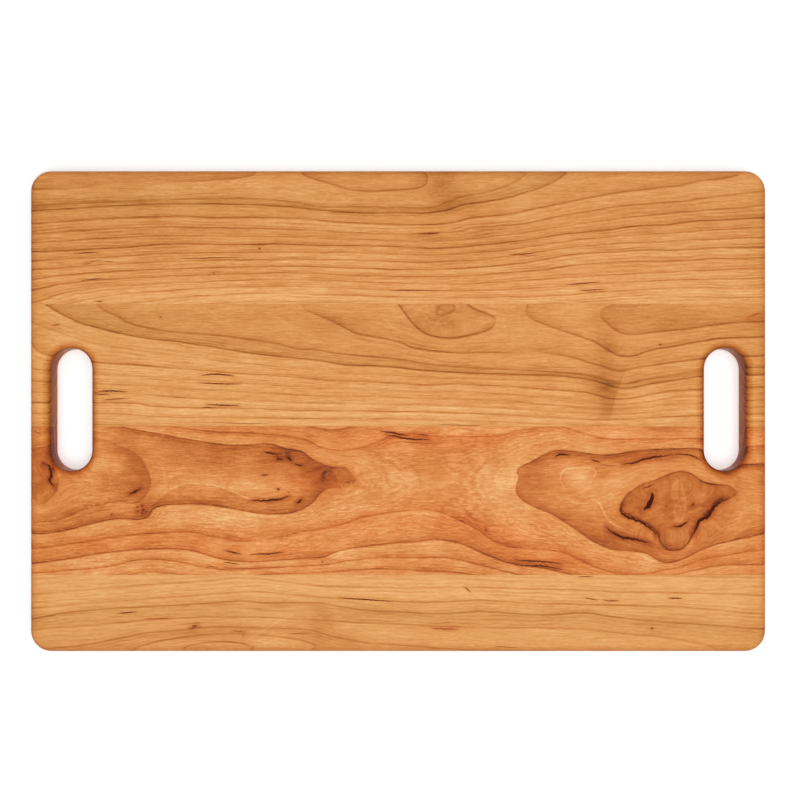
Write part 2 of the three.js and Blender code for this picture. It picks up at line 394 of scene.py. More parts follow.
def fold_layers(node, x, y):
    """Each place's signed distance to the nearest fold, below 0 on its left, and that fold's tones."""
    nearest = np.full(len(x), FOLD_REACH)
    gap = np.full(len(x), FOLD_REACH)
    line = np.zeros(len(x))
    shade = np.zeros(len(x))
    for points, line_amount, shade_amount, reach in FOLDS[node]:
        path = smooth_curve(points, 0.5, 1.0)
        along = np.gradient(path, axis=0)
        share = np.linspace(0, 1, len(path))
        closed = points[0] == points[-1]
        taper = np.ones(len(path)) if closed else np.clip(4 * np.minimum(share, 1 - share), 0, 1)
        low = path.min(0) - FOLD_REACH
        high = path.max(0) + FOLD_REACH
        around = np.nonzero((x > low[0]) & (x < high[0]) & (y > low[1]) & (y < high[1]))[0]
        for part in np.array_split(around, len(around) // 3000 + 1):
            off_x = x[part, None] - path[None, :, 0]
            off_y = y[part, None] - path[None, :, 1]
            distance = np.hypot(off_x, off_y)
            k = distance.argmin(1)
            rows = np.arange(len(part))
            distance = distance[rows, k]
            left = along[k, 0] * off_y[rows, k] - along[k, 1] * off_x[rows, k] > 0
            closer = distance < nearest[part]
            chosen = part[closer]
            nearest[chosen] = distance[closer]
            gap[chosen] = np.where(left, -distance, distance)[closer]
            line[chosen] = line_amount * taper[k][closer]
            decay = np.exp(-distance / reach) * np.clip((FOLD_REACH - distance) / 3, 0, 1)
            shade[chosen] = (shade_amount * taper[k] * decay)[closer]
    return gap, line, shade


def fibre_lines(x, y):
    """Distance across the fibres: y, turned aside round each knot as water goes round a stone."""
    across = y.copy()
    for (centre_x, centre_y), (half_x, half_y) in KNOTS:
        squared = ((x - centre_x) / half_x) ** 2 + ((y - centre_y) / half_y) ** 2
        across -= 0.7 * (y - centre_y) / np.maximum(squared, 1.0) * np.minimum(1, squared) ** 0.5
    return across


# ---------------------------------------------------------------- marks

# Gum streaks and bark cracks on the top face: (greatest width, points along it).
CRACKS = {
    "stave_rear": [
        (0.8, [(-201, 97.9), (-193, 98.3), (-186, 98.4)]),
        (0.5, [(-195, 92.3), (-190, 92.9), (-183, 93.5)]), (0.5, [(-183, 92.9), (-177, 92.7)]),
        (0.7, [(-197, 81), (-190, 81.8), (-183.5, 82.5)]),
        (0.6, [(-136, 94.8), (-121, 95), (-108, 95.4), (-98, 95.4)]),
        (0.9, [(13, 110), (20, 110.2), (26, 110.7)]), (0.7, [(69, 97.1), (77, 97.5), (86, 98.3)]),
        (0.7, [(-5, 74.6), (5, 74.9), (15, 75), (25, 74.9)]),
        (0.8, [(104.6, 78.6), (113, 79.2), (125.5, 80.1)]), (0.7, [(112.4, 75), (120, 75.2), (128, 75.9)]),
    ],
    "stave_rear_middle": [
        (1.0, [(-186.5, 12.2), (-180, 12.5), (-169, 12)]),
        (0.7, [(-189.3, 11.2), (-186, 10.4), (-179, 10.6)]), (0.7, [(-182.3, 7.1), (-175, 7.5), (-168, 8)]),
        (1.0, [(-122.5, 22.2), (-115, 22.9), (-105, 22.3), (-102, 21.6)]),
        (0.8, [(-123.3, 17.6), (-112, 17), (-97.7, 16.8)]), (0.9, [(-119, 4.2), (-108, 3.7), (-98.5, 3.4)]),
        (0.7, [(-121.8, 2.5), (-114, 2.1)]), (0.4, [(-115, -7.2), (-95, -7.6), (-81, -7.8)]),
        (0.5, [(25.4, -8.3), (38, -8.7), (51, -8.9)]),
    ],
    "stave_front_middle": [
        (0.5, [(-226, -12.5), (-221, -14.3)]),
        (1.9, [(-219.5, -33), (-216.4, -34.5), (-215.3, -39.2), (-216.4, -43.8), (-213.3, -46.9)]),
        (1.7, [(-166.8, -51.6), (-163, -49.8), (-159.8, -48)]),
        (1.3, [(-83.7, -25.2), (-78, -26.3), (-73.6, -27.3)]), (1.4, [(-76, -29.1), (-71.3, -30.2)]),
        (1.7, [(-69, -27.9), (-67.5, -29.8), (-65.9, -31)]), (1.1, [(-64.4, -32.5), (-58.9, -34.4)]),
        (1.0, [(-85.3, -39.8), (-80.6, -39.5)]),
        (1.5, [(-91.5, -55.2), (-85, -55.5), (-74, -54.7), (-67.5, -52.8)]),
        (1.5, [(-63.3, -57.3), (-59.4, -54.7)]), (0.8, [(-33.3, -43.8), (-29.5, -44.3)]),
        (1.0, [(-107.8, -86.5), (-97.7, -88.5)]), (1.0, [(-91.5, -88.8), (-80, -88.6), (-71.3, -87.6)]),
        (0.7, [(-108.6, -93.8), (-98.5, -95)]), (0.5, [(-118.7, -96.1), (-111.7, -97.1)]),
        (1.2, [(-10.8, -12.5), (-4, -13.3), (3, -14.8), (6, -15.2)]),
        (1.2, [(-7.7, -14.7), (0, -16), (8, -17.4), (20, -17.7)]), (0.8, [(12.3, -14.5), (19.2, -15.1)]),
        (1.4, [(97.6, -28.3), (100.7, -26.9), (106.9, -27.2)]), (1.0, [(120.1, -30.3), (125.1, -31.7)]),
        (1.5, [(139.5, -32.7), (146.5, -32), (152.7, -29.9), (161, -28.3), (169.8, -27.2)]),
        (1.0, [(171.5, -27), (177, -26.8), (183.5, -28), (188.5, -31)]),
        (0.8, [(151.9, -48.2), (158.9, -45.5)]),
        (3.3, [(157.6, -50.4), (157.6, -54.2), (156, -57.8), (152.4, -61.6)]),
        (1.9, [(139.6, -57.4), (138.1, -60.5), (138.8, -63.2), (142.5, -65.6), (149, -68), (154, -70.6),
          (158, -73.8), (160.8, -77)]),
        (1.5, [(170.2, -71.5), (175.2, -71.3), (179.9, -68.3)]),
        (2.4, [(203.1, -54.7), (197.7, -57.8), (193.8, -63.2), (190, -66.3), (186.8, -68.7), (185.3, -72.5),
          (183.3, -76.4)]),
        (1.0, [(188.4, -43.9), (195, -45.3), (200, -45.9)]),
        (1.9, [(129.4, -72.2), (134.1, -75.9), (140.3, -78.4), (149.6, -80), (156.9, -82.3)]),
        (0.6, [(162.8, -84.2), (166.7, -86.2), (174.4, -86.5)]),
        (1.1, [(72, -91.9), (76.7, -92.7), (90.6, -93.5), (101.5, -95)]),
        (1.1, [(72.8, -94.3), (77, -95.8), (90.6, -96.3), (102.3, -98.5)]),
    ],
    "stave_front": [
        (0.8, [(-174.5, -125.6), (-168, -125.1), (-162, -124.6)]),
        (0.9, [(-37.2, -115.8), (-25, -116.6), (-12, -117.5), (-4.6, -118.2)]),
        (0.9, [(167.5, -116), (176.5, -116.3)]), (0.6, [(111.6, -102.9), (121, -102.7)]),
    ],
}
# Rust-brown streaks, barely below the face: (greatest width, points along it).
STREAKS = {
    "stave_rear": [
        (0.8, [(-188, 67.9), (-183, 68.1)]), (0.6, [(-196, 91.2), (-190, 91.6)]),
        (0.5, [(75, 96.3), (88, 96.6)]), (0.5, [(118, 74), (129, 74.4)]),
    ],
    "stave_rear_middle": [
        (0.9, [(-215, 53.3), (-210, 53.8)]), (0.9, [(217, 58.3), (222, 60), (227, 61)]),
    ],
    "stave_front_middle": [
        (0.8, [(-46, -40.5), (-43, -38.5), (-40, -40)]), (0.8, [(-80, -61.3), (-76, -61.6)]),
        (0.6, [(-73, -61), (-70, -61.2)]), (0.7, [(155, -31), (163, -30.4), (170, -29.6)]),
        (0.7, [(124, -33.3), (136, -34)]), (0.8, [(0, -18.8), (12, -19.6), (24, -20)]),
        (0.7, [(-108.5, -97.3), (-95, -97.6), (-70, -97)]), (0.7, [(78, -94.8), (90, -95), (99, -96)]),
    ],
    "stave_front": [
        (0.8, [(-157.5, -129), (-148, -128.9), (-139.5, -128.5)]), (0.6, [(-175, -131.5), (-166, -131)]),
        (1.6, [(-128.3, -134.6), (-126.5, -133.6), (-124.6, -132.8)]),
        (0.8, [(-103, -136.2), (-98, -136.8), (-94, -137)]), (0.8, [(-95.5, -138), (-96.5, -140)]),
        (0.7, [(-68, -138.3), (-60, -137.8), (-55, -138.2)]),
        (1.0, [(21, -134.8), (29, -135.1), (37.5, -135.4)]),
        (0.9, [(116, -115.8), (121, -116.8), (124, -117.5)]),
        (1.0, [(127.5, -117.3), (133, -117.9), (137, -117.6)]),
        (1.0, [(41, -109), (43, -110.5), (45, -112.5)]), (0.6, [(60, -146), (75, -147)]),
    ],
}
# Pin knots and specks: (x, y, radius).
SPECKS = {
    "stave_rear": [(-86, 101, 0.55), (-114.3, 85.5, 0.4), (-117.5, 84.3, 0.3)],
    "stave_rear_middle": [(-147.5, 58.4, 0.4), (162.8, 41.4, 0.55)],
    "stave_front_middle": [(-161.8, -59.5, 0.6), (-158.9, -58.8, 0.7), (-158.3, -61.2, 0.8),
        (-161.6, -62.3, 0.5), (-159, -63.6, 0.5), (-178, -64, 0.4), (-74.4, -48.5, 0.7), (-68, -50.4, 0.4),
        (-47, -93.5, 0.5), (166.7, -58.6, 0.5), (183.1, -57.8, 0.75), (54.5, -73.6, 0.6),
        (44.8, -64.5, 0.4)],
    "stave_front": [(157.7, -134.8, 0.6)],
}
# Soft shading on the top face: (x, y, half-axis along, half-axis across, how much darker).
STAINS = {
    "stave_rear": [(27, 136, 11, 15, 0.24), (44, 128, 12, 8, 0.08), (48, 106, 12, 12, 0.06),
        (-224, 105, 8, 40, 0.07), (222, 110, 8, 40, 0.05), (-38, 92, 35, 8, -0.05),
        (-90, 142, 25, 5, -0.04), (-120, 74, 70, 4, -0.06), (-190, 128, 35, 6, 0.05),
        (20, 110, 12, 5, 0.06), (150, 72, 60, 4, -0.04), (-150, 108, 30, 8, 0.03), (120, 138, 30, 8, 0.03),
        (-180, 112, 50, 18, 0.04), (190, 118, 40, 18, 0.03), (-60, 94, 60, 14, -0.02)],
    "stave_rear_middle": [(-155, 53, 50, 6, 0.05), (-45, 55, 17, 7, 0.09), (-82, 61, 20, 4, 0.06),
        (24, 58, 10, 7, 0.1), (45, 62, 10, 5, 0.09), (80, 62, 6, 5, 0.1), (108, 58, 12, 6, -0.05),
        (129, 15, 6, 11, 0.2), (123, 15, 9, 13, 0.13), (136, 27, 8, 4, 0.07), (130, 16.3, 6, 1.5, 0.24),
        (126, 12.5, 5, 1.4, 0.1), (128, 37, 7, 9, 0.16), (131, 46, 6, 7, 0.07), (124, 56, 5, 8, 0.09),
        (129, 2, 7, 8, 0.12), (-150, 60, 60, 6, 0.05), (5, 52, 50, 9, 0.05), (154, 6, 12, 7, -0.09),
        (-30, 5, 90, 10, -0.03), (222, 56, 7, 8, 0.09), (-222, 50, 8, 12, 0.08), (175, 57, 35, 5, 0.06),
        (32, 54, 3, 4, 0.12), (-224, 10, 6, 25, 0.05), (223, 10, 6, 25, 0.04), (52, 55, 6, 5, -0.04)],
    "stave_front_middle": [(-95, -28, 42, 7, 0.14), (-66, -29, 15, 9, 0.17), (-46, -41, 15, 9, 0.3),
        (-31, -41, 8, 6, 0.16), (-38, -35, 12, 4, 0.12), (-55, -53, 12, 7, 0.09), (-95, -46, 20, 6, -0.16),
        (-125, -46, 24, 6, -0.12), (-163, -32, 9, 13, 0.12), (-165, -49, 8, 5, 0.15),
        (-157, -61, 7, 7, 0.16), (-192, -45, 12, 8, -0.08), (-221, -44, 9, 14, 0.2),
        (-224, -26, 6, 6, 0.16), (-110, -67, 40, 4, -0.03), (-120, -78, 8, 5, 0.07), (-48, -92, 8, 4, 0.13),
        (12, -46, 22, 11, -0.08), (44, -67, 12, 9, 0.15), (60, -80, 14, 8, 0.12), (68, -90, 14, 6, 0.14),
        (108, -94, 24, 3, 0.12), (85, -42, 10, 13, 0.09), (148, -28, 40, 4, 0.12), (112, -42, 11, 8, -0.16),
        (103, -66, 13, 6, 0.08), (128, -80, 14, 5, 0.1), (172, -61, 27, 17, 0.13), (57, -44, 12, 10, -0.06),
        (132, -48, 8, 8, -0.05), (155, -56, 8, 7, 0.08), (166, -85, 14, 4, 0.12), (195, -64, 9, 9, 0.13),
        (206, -54, 9, 7, 0.07), (-90, -14, 55, 3, 0.04), (0, -15, 22, 3, 0.12), (100, -15, 50, 3, -0.03),
        (185, -42, 20, 3, -0.05), (215, -52, 9, 9, -0.04), (0, -90, 30, 6, -0.05), (28, -98, 24, 3, 0.12),
        (172, -94, 24, 3, 0.05), (-37, -26, 16, 4, -0.08), (-20, -33, 8, 6, -0.04)],
    "stave_front": [(-75, -126, 20, 8, -0.08), (-48, -135, 8, 9, 0.12), (-30, -141, 12, 6, 0.05),
        (-78, -143, 18, 4, -0.09), (-127, -135, 6, 5, 0.08), (-224, -125, 7, 20, 0.08),
        (60, -109, 120, 5, -0.03), (-170, -108, 40, 5, 0.04), (222, -128, 8, 20, 0.06),
        (34, -135, 12, 4, 0.04), (170, -130, 35, 4, 0.03)],
}

# Redder places on the top face, in the same form: how much redder, or less red below 0.
RED_SPOTS = {
    "stave_rear": [(-170, 130, 70, 14, -0.3), (60, 140, 60, 10, -0.25), (-50, 128, 60, 8, -0.2),
        (100, 80, 110, 12, 0.2), (-150, 73, 60, 6, 0.2), (-205, 88, 20, 8, 0.25), (35, 72, 30, 4, 0.2)],
    "stave_rear_middle": [(-170, 55, 60, 10, -0.25), (134, 50, 8, 9, 0.35), (45, 58, 10, 6, 0.3),
        (222, 58, 8, 4, 0.5), (-214, 54, 5, 3, 0.4), (-112, 20, 18, 4, 0.15), (-60, 48, 60, 6, -0.1)],
    "stave_front_middle": [(-45, -44, 17, 9, 0.7), (-64, -43, 8, 6, 0.4), (15, -17, 50, 4, 0.5),
        (70, -76, 28, 8, 0.6), (0, -69, 60, 4, 0.4), (-190, -82, 40, 6, 0.2), (110, -90, 30, 4, 0.5),
        (178, -89, 22, 4, 0.4), (-100, -86, 60, 4, 0.3), (130, -31, 30, 3, 0.4), (15, -45, 45, 10, -0.2),
        (-216, -36, 8, 5, 0.3)],
    "stave_front": [(29, -135, 12, 2, 0.8), (-52, -138, 25, 2, 0.4), (-148, -129, 12, 2, 0.3),
        (0, -128, 200, 6, -0.1)],
}

# Sharp edges in the figure that are not growth rings. The wood is darker on the left of the line, going
# along it: (points, how dark the line is, how much darker the wood is beside it, how far that reaches).
FOLDS = {
    "stave_rear": [],
    "stave_rear_middle": [
        ([(131, -9), (132.5, -3), (134, 4), (135.5, 10), (138, 17), (141, 24), (143, 31)], 0.0, 0.13, 9),
        ([(17, 61), (19, 57.5), (23, 56), (25, 58.5), (24, 61.5), (28, 63), (33, 62.5)], 0.07, 0.05, 4),
        ([(26, 57), (27.5, 53), (28, 49.5)], 0.03, 0.07, 4),
        ([(-124, 65), (-112, 60), (-100, 55.5)], -0.1, 0.0, 3),
        ([(-82, 62), (-74, 57), (-64, 52.5)], -0.07, 0.0, 3),
        ([(48, 57), (54, 55.5), (59, 57)], -0.08, 0.0, 3),
        ([(-12, 60), (-4, 53), (4, 48)], -0.06, 0.0, 3),
    ],
    "stave_front_middle": [
        ([(-240, -70), (-228, -69.4), (-214, -68.2), (-203, -64.8), (-194, -60.4), (-182, -57.5),
          (-172, -56.2), (-165, -57.5), (-159, -55), (-155, -49.5), (-153.5, -44), (-155, -38), (-157, -34),
          (-159, -29.9), (-165, -25), (-172, -22), (-181, -18), (-189, -15.5)], 0.09, 0.2, 8),
        ([(-62, -48), (-75, -54), (-90, -55), (-97, -52.8), (-105, -49), (-113.6, -46.2), (-121, -45.1),
          (-132, -45.3), (-139, -47.5), (-145, -51), (-151, -56), (-156, -63)], -0.2, 0.17, 6),
        ([(-136, -37), (-120, -36.5), (-98, -34), (-80, -33), (-68, -34)], -0.05, 0.1, 6),
        ([(107, -50), (102.5, -47), (100.5, -42), (102, -37.5), (107, -35.5), (116, -34.8), (121.5, -36),
          (122.5, -39.5), (119, -42.5), (121, -46)], -0.2, 0.06, 4),
        ([(118, -53), (124, -56), (127, -61), (129, -66), (134, -70.5), (141, -73.5)], -0.22, 0.0, 4),
        ([(-228, -57), (-221, -57.5), (-214.5, -52.5), (-211, -46), (-211.5, -40), (-215, -35),
          (-221, -31.5), (-228, -30)], 0.13, 0.16, 6),
        ([(-228, -50), (-221, -51), (-218.5, -47)], 0.06, 0.05, 3),
        ([(-193, -62), (-184, -55), (-179, -47), (-180, -39), (-185, -33)], -0.06, 0.06, 5),
        ([(-200, -57), (-193, -51), (-190, -45), (-192, -39)], -0.05, 0.05, 4),
        ([(-36, -46), (-34, -48.8), (-30.5, -49), (-28, -47), (-28.5, -44.2), (-31.5, -42.6),
          (-34.5, -43.2), (-36, -46)], 0.08, -0.14, 4),
        ([(-47, -39), (-47.5, -43), (-44, -46), (-39.5, -45), (-38, -41), (-41, -37.5), (-45, -37),
          (-47, -39)], 0.02, 0.08, 4),
        ([(173, -42), (170, -46), (169.3, -53), (171.5, -58), (171, -64), (174.5, -69.5), (177.5, -66),
          (179.3, -58), (178, -50), (176, -44), (173, -42)], 0.0, -0.13, 6),
        ([(174, -44), (173, -52), (175, -60), (174.5, -67)], -0.12, 0.0, 3),
        ([(-163, -58), (-163.5, -62), (-160, -65), (-156.5, -63.5), (-155.5, -60),
          (-158, -57.5)], 0.1, 0.06, 3),
        ([(150, -96), (158, -99), (166, -99.5), (176, -96.5), (188, -91), (200, -87.5)], -0.06, 0.03, 4),
        ([(205, -78), (214, -73.5), (221, -71), (228, -70)], -0.06, 0.04, 4),
        ([(-152, -28), (-146, -36), (-145, -44), (-148, -52)], -0.07, 0.0, 4),
        ([(98, -18), (118, -20), (140, -18), (165, -17.5)], -0.05, 0.0, 4),
        ([(60, -58), (52, -52), (49, -45), (50, -39), (55, -33), (64, -27)], -0.04, 0.06, 5),
        ([(68, -57), (62, -50), (60.5, -43), (63, -36), (70, -31)], -0.03, 0.05, 4),
        ([(-26, -31), (-16, -36), (-11, -43), (-16, -51), (-27, -55)], -0.07, 0.04, 4),
        ([(-17, -27), (-5, -33), (3, -41), (0, -48), (-9, -53)], -0.04, 0.04, 5),
        ([(-8, -26), (6, -32), (13, -41), (12, -50), (2, -58)], 0.06, 0.05, 4),
        ([(103, -52.5), (108, -56), (115, -57.5), (121, -56)], -0.14, 0.0, 4),
    ],
    "stave_front": [
        ([(-97, -144), (-85, -137), (-73, -130), (-60, -124.5)], -0.08, 0.0, 5),
        ([(-90, -148), (-76, -141), (-62, -136)], -0.06, 0.0, 4),
        ([(-57, -121), (-50, -126), (-44, -132), (-40, -139), (-38, -146)], 0.0, 0.08, 7),
    ],
}
FOLD_REACH = 9.0        # folds have no effect beyond this distance

CRACK_DEPTH = 0.45      # as a share of the crack's width
STREAK_DEPTH = 0.1      # the same for a rust streak
CRACK_ABOVE = 0.4       # how far a cutter stands above the face
HALO_REACH = 1.1        # how far a crack's stain spreads into the wood
STAIN_DEPTH = 12.0      # how deep the soft shading goes
SLOT_SHADE_REACH = 4.4   # how far from a slot's wall the wood gets painted shade and oil darkening
RIM_SHADE_REACH = 5.0    # the same for the board's outer rim


def add_tube(bm, rings):
    """The skin of a solid through rings of points, closed at both ends."""
    for one, two in zip(rings, rings[1:]):
        for k in range(len(one)):
            m = (k + 1) % len(one)
            bm.faces.new((one[k], two[k], two[m], one[m]))
    bm.faces.new(rings[0][::-1])
    bm.faces.new(rings[-1])


def crack_cutter(bm, points, width, depth_share, top, seed):
    """A canoe-shaped solid along a curve: full width in its middle, drawn to a point at both ends."""
    noise = np.random.default_rng(seed)
    step = max(0.7, width * 0.6)
    path = smooth_curve(points, step, 1.0)
    keep = np.concatenate([[True], np.linalg.norm(np.diff(path, axis=0), axis=1) > step * 0.3])
    path = path[keep]
    direction = np.gradient(path, axis=0)
    direction /= np.linalg.norm(direction, axis=1)[:, None]
    side = np.stack([-direction[:, 1], direction[:, 0]], 1)
    t = np.linspace(0, 1, len(path))
    taper = np.clip(np.sin(np.pi * (0.03 + 0.94 * t)), 0, 1) ** 0.6
    half = width / 2 * taper * noise.uniform(0.75, 1.15, len(path))
    path = path + side * (noise.normal(0, 0.12, len(path)) * width * taper)[:, None]
    depth = width * depth_share * taper + 0.08
    rows = []
    for place, out, h, d in zip(path, side, half, depth):
        section = [(-1.0, CRACK_ABOVE), (-1.0, -0.03), (-0.62, -0.75 * d), (0.0, -d),
                   (0.62, -0.75 * d), (1.0, -0.03), (1.0, CRACK_ABOVE)]
        rows.append([bm.verts.new((place[0] + out[0] * h * s, place[1] + out[1] * h * s, top + z))
                     for s, z in section])
    add_tube(bm, rows)


def speck_cutter(bm, x, y, radius, top, seed):
    """A small ragged pit."""
    sides = 10
    rings = []
    for share, z in ((1.0, CRACK_ABOVE), (1.0, -0.03), (0.7, -0.5 * radius), (0.25, -0.7 * radius)):
        ring = []
        for k in range(sides):
            angle = math.tau * k / sides
            reach = radius * share * (1 + 0.18 * math.sin(3 * angle + seed) + 0.1 * math.cos(2 * angle))
            place = (x + 1.3 * reach * math.cos(angle), y + reach * math.sin(angle), top + z)
            ring.append(bm.verts.new(place))
        rings.append(ring)
    add_tube(bm, rings)


def cutters(node, top):
    """Every crack and speck of one stave as one mesh object."""
    bm = bmesh.new()
    for number, (width, points) in enumerate(CRACKS[node]):
        crack_cutter(bm, points, width, CRACK_DEPTH, top, seed=number)
    for number, (width, points) in enumerate(STREAKS[node]):
        crack_cutter(bm, points, width, STREAK_DEPTH, top, seed=100 + number)
    for number, (x, y, radius) in enumerate(SPECKS[node]):
        speck_cutter(bm, x, y, radius, top, seed=number)
    bmesh.ops.recalc_face_normals(bm, faces=bm.faces)
    bmesh.ops.scale(bm, vec=(MM, MM, MM), verts=bm.verts)
    mesh = bpy.data.meshes.new("cutters")
    bm.to_mesh(mesh)
    bm.free()
    cutter = bpy.data.objects.new("cutters", mesh)
    bpy.context.scene.collection.objects.link(cutter)
    return cutter


# ---------------------------------------------------------------- shape

def rounded_rectangle(centre, half_x, half_y, radius):
    """(points, outward directions) round a rectangle with quarter-round corners, counter-clockwise."""
    points, outward = [], []
    arc_steps = max(8, math.ceil(math.pi / 2 * radius / GRID))
    corners = [(1, 1), (-1, 1), (-1, -1), (1, -1)]

    def on_arc(number, angle):
        across, along = corners[number % 4]
        return (centre[0] + across * (half_x - radius) + radius * math.cos(angle),
                centre[1] + along * (half_y - radius) + radius * math.sin(angle))

    for number in range(4):
        for k in range(arc_steps + 1):
            angle = math.pi / 2 * (number + k / arc_steps)
            points.append(on_arc(number, angle))
            outward.append((math.cos(angle), math.sin(angle)))
        last = points[-1]
        following = on_arc(number + 1, angle)
        straight_steps = math.ceil(math.dist(last, following) / GRID)
        for k in range(1, straight_steps):
            t = k / straight_steps
            points.append((last[0] + (following[0] - last[0]) * t, last[1] + (following[1] - last[1]) * t))
            outward.append(outward[-1])
    unique = [k for k in range(len(points)) if math.dist(points[k], points[k - 1]) > 1e-6]
    return np.array(points)[unique], np.array(outward)[unique]


def edge_profile():
    """(how far out, height) from the top face's rim over the edge, down the wall and round underneath."""
    quarter = [math.pi / 2 * k / EDGE_STEPS for k in range(EDGE_STEPS + 1)]
    upper = [(math.sin(a) - 1, THICKNESS / EDGE_RADIUS + math.cos(a) - 1) for a in quarter]
    profile = [(EDGE_RADIUS * out, EDGE_RADIUS * z) for out, z in upper]
    wall = np.linspace(THICKNESS - EDGE_RADIUS, EDGE_RADIUS, WALL_STEPS + 1)[1:-1]
    lower = [(out, THICKNESS - z) for out, z in reversed(profile)]
    return profile + [(0.0, z) for z in wall] + lower


def face_points(rim_points):
    """Points over the flat of the top face, closer together near the cracks."""
    xs = np.arange(-HALF_LENGTH + EDGE_RADIUS + GRID, HALF_LENGTH - EDGE_RADIUS, GRID)
    ys = np.arange(-HALF_WIDTH + EDGE_RADIUS + GRID, HALF_WIDTH - EDGE_RADIUS, GRID)
    points = np.stack(np.meshgrid(xs, ys), -1).reshape(-1, 2)
    points[:, 0] += GRID / 4 * (np.arange(len(points)) // len(xs) % 2)
    half = GRID / 2
    between = np.concatenate([points + (half, 0), points + (0, half), points + (half, half)])
    near = np.min([gap_to_marks(node, *between.T, GRID)[0] for node in CRACKS], axis=0)
    points = np.concatenate([points, between[near < 2 * GRID]])
    clear = np.full(len(points), np.inf)
    for part in np.array_split(rim_points, 20):
        clear = np.minimum(clear, np.linalg.norm(points[:, None] - part[None], axis=2).min(1))
    return points[on_flat(*points.T) & (clear > GRID * 0.6)]


def add_edge_band(bm, points, outward, upper_rim, lower_rim):
    """The rounded edges and the wall between them along one closed outline."""
    rows = [upper_rim]
    for out, z in edge_profile()[1:-1]:
        rows.append([bm.verts.new((x, y, z)) for x, y in points + outward * out])
    rows.append(lower_rim)
    for upper, lower in zip(rows, rows[1:]):
        for k in range(len(points)):
            m = (k + 1) % len(points)
            bm.faces.new((upper[k], lower[k], lower[m], upper[m]))


def board_mesh():
    """The whole board as one closed fine mesh: a triangulated top and underside, and rounded edges."""
    loops = [rounded_rectangle((0, 0), HALF_LENGTH, HALF_WIDTH, CORNER_RADIUS)]
    for centre in slot_centres():
        points, outward = rounded_rectangle(centre, SLOT_WIDTH / 2, SLOT_LENGTH / 2, SLOT_WIDTH / 2)
        loops.append((points[::-1], -outward[::-1]))
    rims = [points - outward * EDGE_RADIUS for points, outward in loops]
    firsts = np.cumsum([0] + [len(rim) for rim in rims])
    edges = []
    for first, rim in zip(firsts, rims):
        edges += [(int(first + k), int(first + (k + 1) % len(rim))) for k in range(len(rim))]
    rim_points = np.vstack(rims)
    flat = [Vector(p) for p in np.vstack([rim_points, face_points(rim_points)])]
    verts, _, faces, origin, _, _ = delaunay_2d_cdt(flat, edges, [], 0, 1e-6)
    index_of = {source: number for number, sources in enumerate(origin) for source in sources}
    on_rim = [[index_of[first + k] for k in range(len(rim))] for first, rim in zip(firsts, rims)]
    # A triangle with all its corners on one slot's rim fills the slot, so it is left out.
    slot_of = {number: slot for slot, members in enumerate(on_rim[1:]) for number in members}

    bm = bmesh.new()
    top = [bm.verts.new((v[0], v[1], THICKNESS)) for v in verts]
    base = [bm.verts.new((v[0], v[1], 0)) for v in verts]
    for face in faces:
        slots = {slot_of.get(i) for i in face}
        if len(slots) > 1 or None in slots:
            bm.faces.new([top[i] for i in face])
            bm.faces.new([base[i] for i in reversed(face)])
    for (points, outward), members in zip(loops, on_rim):
        add_edge_band(bm, points, outward, [top[i] for i in members], [base[i] for i in members])
    loose = [v for v in bm.verts if not v.link_faces]
    bmesh.ops.delete(bm, geom=loose, context="VERTS")
    bmesh.ops.recalc_face_normals(bm, faces=bm.faces)
    return bm


def keep_slab(bm, axis, low, high):
    """Cuts a closed mesh down to the slab between two planes across an axis, and closes the cuts."""
    normal = Vector([float(k == axis) for k in range(3)])
    for place, sign in ((low, -1), (high, 1)):
        if place is None:
            continue
        geometry = bm.verts[:] + bm.edges[:] + bm.faces[:]
        bmesh.ops.bisect_plane(bm, geom=geometry, dist=1e-5, plane_co=normal * place,
                               plane_no=normal * sign, clear_outer=True)
        rim = [e for e in bm.edges if e.is_boundary]
        bmesh.ops.holes_fill(bm, edges=rim, sides=0)
    return bm


def slab_object(name, whole, node, materials):
    """The part of the board that a CAD node fills, as a Blender object in metres."""
    low, high = (Vector(c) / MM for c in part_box(node))
    bm = whole.copy()
    keep_slab(bm, 1, low.y if low.y > LOW.y + 0.01 else None, high.y if high.y < HIGH.y - 0.01 else None)
    keep_slab(bm, 0, low.x if low.x > LOW.x + 0.01 else None, high.x if high.x < HIGH.x - 0.01 else None)
    bmesh.ops.scale(bm, vec=(MM, MM, MM), verts=bm.verts)
    mesh = bpy.data.meshes.new(name)
    bm.to_mesh(mesh)
    bm.free()
    for material in materials:
        mesh.materials.append(material)
    piece = bpy.data.objects.new(name, mesh)
    bpy.context.scene.collection.objects.link(piece)
    return piece


def carve(piece, cutter):
    """Cuts the cracks into a stave; their walls keep the cutter's material."""
    modifier = piece.modifiers.new("cracks", "BOOLEAN")
    modifier.operation = "DIFFERENCE"
    modifier.solver = "EXACT"
    modifier.use_self = True
    modifier.material_mode = "TRANSFER"
    modifier.object = cutter
    graph = bpy.context.evaluated_depsgraph_get()
    carved = bpy.data.meshes.new_from_object(piece.evaluated_get(graph))
    piece.modifiers.clear()
    old = piece.data
    piece.data = carved
    bpy.data.meshes.remove(old)
    bpy.data.objects.remove(cutter)


